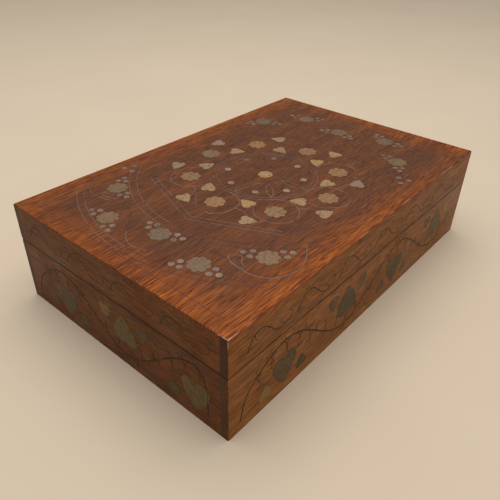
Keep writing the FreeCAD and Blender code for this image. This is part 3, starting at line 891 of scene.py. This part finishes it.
# One stroke of a running scroll, as shares of its pitch and its rise, and its three hooks, each with a
# place, a heading and a hand.
scroll_points = [(-0.12, -0.9), (-0.05, 0.3), (0.06, 0.95), (0.18, 0.95), (0.32, 0.1), (0.45, -0.85),
                 (0.6, -1.0), (0.72, -0.6), (0.75, 0.1), (0.68, 0.5)]
scroll_hooks = ((0.02, 0.8, -100, 1), (0.2, 0.9, -110, -1), (0.6, -1.0, 100, 1))


def wave(first, last, level, rise, half_pitch, crest, step=8.0):
    """Points along a wave between two places, with a crest at the place given."""
    count = max(2, round((last - first) / step))
    points = []
    for k in range(count + 1):
        along = first + (last - first) * k / count
        points.append(Vector((along, level + rise * math.cos(math.pi * (along - crest) / half_pitch))))
    return points


def hollow_curls(level, rise, half_pitch, crest, first, last, size, way=1):
    """Hooks from a wave into its hollows like teeth of a comb, or out of them where way is -1."""
    hooks = []
    count = 0
    along = first
    while along < last:
        phase = math.pi * (along - crest) / half_pitch
        foot = Vector((along, level + rise * math.cos(phase)))
        inward = -90 * way if math.cos(phase) > 0 else 90 * way
        hand = (-1) ** count
        length = size * (0.7 + 0.4 * abs(math.cos(phase)))
        turns = 0.4 + 0.15 * (count % 3)
        hooks.append(stroke(curl(foot, inward + hand * 50, length, -hand, turns), hook_width, 0.5))
        along += half_pitch / hooks_per_half_wave
        count += 1
    return hooks


def running_scroll(first, count):
    """A row of strokes along the lid that fall and curl up again, each with three hooks."""
    scroll = []
    for k in range(count):
        start = Vector((first + lid_pitch * k, lid_level))
        body = [start + Vector((lid_pitch * a, lid_rise * b)) for a, b in scroll_points]
        scroll.append(stroke(body, scroll_width, 0.4))
        for a, b, heading, hand in scroll_hooks:
            foot = start + Vector((lid_pitch * a, lid_rise * b))
            scroll.append(stroke(curl(foot, heading, 3.6, hand, 0.4), scroll_hook_width, 0.5))
    return scroll


print("hooks", hooks_per_half_wave, "to a half wave")

# %% Vines of the front and back
stem_width = 0.95
vine_level = 22.0
vine_rise = 14.0
outer_hook = 3.6  # size of the hooks on the outer side of a wave
front_wave = (vine_level, vine_rise, 57.0, -85.5)  # level, rise, half pitch and crest
for side in ("front", "back"):
    lead_in = [Vector((-119, 6.5)), Vector((-114, 21))]
    work = [stroke(lead_in + wave(-107, 112, *front_wave), stem_width)]
    work += hollow_curls(*front_wave, -108, 112, 8.5)
    if side == "front":  # the bevelled rim of the back leaves no room for outer hooks
        work += hollow_curls(*front_wave, -106, 112, outer_hook, -1)
    engrave(side + "_vine", side, work, "base", dark_wax)
    engrave(side + "_lid_scroll", side, running_scroll(-110, 6), "lid", dark_wax)

# %% Vines of the ends
end_wave = (vine_level, vine_rise, 51.8, -42.0)
for side, front in (("left", 1), ("right", -1)):
    lead_in = [Vector((-73.6, 5)), Vector((-69.5, 19))]
    lead_out = [Vector((68.3, 28)), Vector((69.6, 7))]
    work = [stroke(lead_in + wave(-63, 63, *end_wave) + lead_out, stem_width)]
    work += hollow_curls(*end_wave, -60, 66, 8.0)
    work += hollow_curls(*end_wave, -58, 62, outer_hook, -1)
    turned = []  # both vines start at the back, so that of the right end is mirrored
    for points, *form in work:
        turned.append(stroke([Vector((front * point.x, point.y)) for point in points], *form))
    engrave(side + "_vine", side, turned, "base", dark_wax)
    engrave(side + "_lid_scroll", side, running_scroll(-66, 4), "lid", worn_wax)

# %% [markdown]
# ## Hinge screws
# Eight small brass screws hold the hinge leaves. The frame has them as plain tapered pegs. A slot could
# be painted on, but a real one catches the light. So each head is turned smooth and gets its slot: two
# cuts part a strip of the head's face, and the strip is pushed down.

# %% Turned screws
head_height = 0.7 * mm
slot_share = 0.16  # half the width of a slot as a share of the head's radius
slot_depth = 0.5 * head_height


def drawn_out(mesh, region, way):
    """Extrude a few faces and leave nothing behind them."""
    grown = bmesh.ops.extrude_face_region(mesh, geom=region)["geom"]
    bmesh.ops.delete(mesh, geom=region, context="FACES_ONLY")
    moved = [part for part in grown if isinstance(part, bmesh.types.BMVert)]
    bmesh.ops.translate(mesh, verts=moved, vec=way)


def screw(radius, shank, length):
    """A slotted countersunk screw with its face at Z 0 and its shank along -Z."""
    mesh = bmesh.new()
    bmesh.ops.create_cone(
        mesh, cap_ends=True, segments=24, radius1=shank, radius2=radius, depth=head_height,
        matrix=Matrix.Translation((0, 0, -head_height / 2)))
    foot = [face for face in mesh.faces if face.normal.z < -0.9]
    drawn_out(mesh, foot, (0, 0, head_height - length))
    slot = radius * slot_share
    for place in (-slot, slot):
        top = [face for face in mesh.faces if face.normal.z > 0.9]
        edges = {edge for face in top for edge in face.edges}
        verts = {vert for face in top for vert in face.verts}
        cut = [*top, *edges, *verts]
        bmesh.ops.bisect_plane(mesh, geom=cut, plane_co=(0, place, 0), plane_no=(0, 1, 0))
    top = [face for face in mesh.faces if face.normal.z > 0.9]
    strip = [face for face in top if abs(face.calc_center_median().y) < slot / 2]
    drawn_out(mesh, strip, (0, 0, -slot_depth))
    bmesh.ops.recalc_face_normals(mesh, faces=mesh.faces[:])
    return mesh


def screws(name, node, up, body):
    """All screws of one node. Up is 1 where their faces look up."""
    joined = bmesh.new()
    for points in separate_points(node):
        heights = [point.z * up for point in points]
        face = [point for point in points if point.z * up > max(heights) - same_level]
        deepest = [point for point in points if point.z * up < min(heights) + same_level]
        middle = sum(face, Vector()) / len(face)
        foot = sum(deepest, Vector()) / len(deepest)
        one = screw((face[0] - middle).length, (deepest[0] - foot).length, (foot - middle).length)
        turn = Matrix.Rotation(dice.uniform(0, math.pi), 4, "Z")
        flip = Matrix.Rotation(0 if up > 0 else math.pi, 4, "X")
        bmesh.ops.transform(one, matrix=Matrix.Translation(middle) @ flip @ turn, verts=one.verts)
        pour(one, joined)
    stand_in(name, joined, metals["hinge_brass"], body, node)


screws("base_screws", "base_hinge_screws", 1, "base")
screws("lid_screws", "lid_hinge_screws", -1, "lid")

# %% [markdown]
# ## Floor, light and camera
# The box stands on a plain pale floor under soft studio light: an even surround and one broad lamp above
# and behind. An image of a studio could light it, but nodes keep the scene in one file. The surround
# meets the floor in the tone that the floor has far out, so its edge doesn't show. Higher up it darkens
# like a room's ceiling, so the varnish mirrors less where one looks down on it.

# %% Floor
floor_radius = 6.0
cloud_width = 0.11
floor_finish, tree = blank_material("pale_paper")
place = add(tree, "TexCoord", out="Object")
clouds = add(tree, "TexNoise", {"Vector": place, "Scale": 1 / cloud_width, "Detail": 5.0})
paper = add(tree, "Mix", {0: clouds, 6: colour("#d1c2ad"), 7: colour("#cabaa5")}, **in_colour)
paper_shader = add(tree, "BsdfPrincipled", {"Base Color": paper, "Roughness": 0.9})
add(tree, "OutputMaterial", {"Surface": paper_shader})
floor_shape = bmesh.new()
bmesh.ops.create_circle(floor_shape, cap_ends=True, segments=64, radius=floor_radius)
floor_mesh = bpy.data.meshes.new("floor")
floor_shape.to_mesh(floor_mesh)
floor_shape.free()
floor_mesh.materials.append(floor_finish)
floor = bpy.data.objects.new("floor", floor_mesh)
bpy.context.scene.collection.objects.link(floor)
print("floor", 2 * floor_radius, "m across")

# %% Light
world = bpy.data.worlds.new("studio")
bpy.context.scene.world = world
world.use_nodes = True
tree = world.node_tree
tree.nodes.clear()
seen_rays = add(tree, "LightPath", out="Is Camera Ray")
glossy_rays = seen_rays.node.outputs["Is Glossy Ray"]
clear_rays = seen_rays.node.outputs["Is Transmission Ray"]
shown = add(tree, "Math", {0: seen_rays, 1: glossy_rays}, operation="MAXIMUM")
shown = add(tree, "Math", {0: shown, 1: clear_rays}, operation="MAXIMUM")
lit = add(tree, "Background", {"Color": (1.0, 0.97, 0.93, 1.0), "Strength": 0.6})
height = add(tree, "SeparateXYZ", {0: add(tree, "TexCoord", out="Generated")}, out="Z")
wall = add(tree, "ValToRGB", {"Fac": height}, stops=[(0.02, "#a19483"), (0.72, "#7a6f65")])
backdrop = add(tree, "Background", {"Color": wall, "Strength": 1.0})
surround = add(tree, "MixShader", {0: shown, 1: lit, 2: backdrop})
add(tree, "OutputWorld", {"Surface": surround})

lamp_data = bpy.data.lights.new("broad_lamp", "AREA")
lamp_data.shape = "DISK"
lamp_data.size = 1.2
lamp_data.energy = 7.6
lamp_data.color = (1.0, 0.96, 0.9)
lamp = bpy.data.objects.new("broad_lamp", lamp_data)
lamp.location = (0.05, 0.05, 1.0)
lamp.rotation_mode = "QUATERNION"
lamp.rotation_quaternion = (-lamp.location).to_track_quat("-Z", "Y")
bpy.context.scene.collection.objects.link(lamp)
bpy.context.scene.view_settings.view_transform = "Standard"
print("lamp of", lamp_data.energy, "W,", lamp_data.size, "m across")

# %% Camera
view_azimuth = math.radians(-50.18)
view_elevation = math.radians(34.42)
view_roll = math.radians(1.36)
view_distance = 0.324
view_target = Vector((-0.03561, -0.01672, 0.0325))
back = Vector((
    math.sin(view_azimuth) * math.cos(view_elevation),
    -math.cos(view_azimuth) * math.cos(view_elevation),
    math.sin(view_elevation)))
camera_data = bpy.data.cameras.new("camera")
camera_data.lens = 38.26
camera_data.sensor_width = 36.0
camera_data.clip_start = 0.01
camera = bpy.data.objects.new("camera", camera_data)
camera.rotation_mode = "QUATERNION"
camera.location = view_target + back * view_distance
camera.rotation_quaternion = (-back).to_track_quat("-Z", "Y") @ Quaternion((0, 0, 1), view_roll)
bpy.context.scene.collection.objects.link(camera)
bpy.context.scene.camera = camera
print("camera", round(camera.location.z / mm), "mm above the floor")
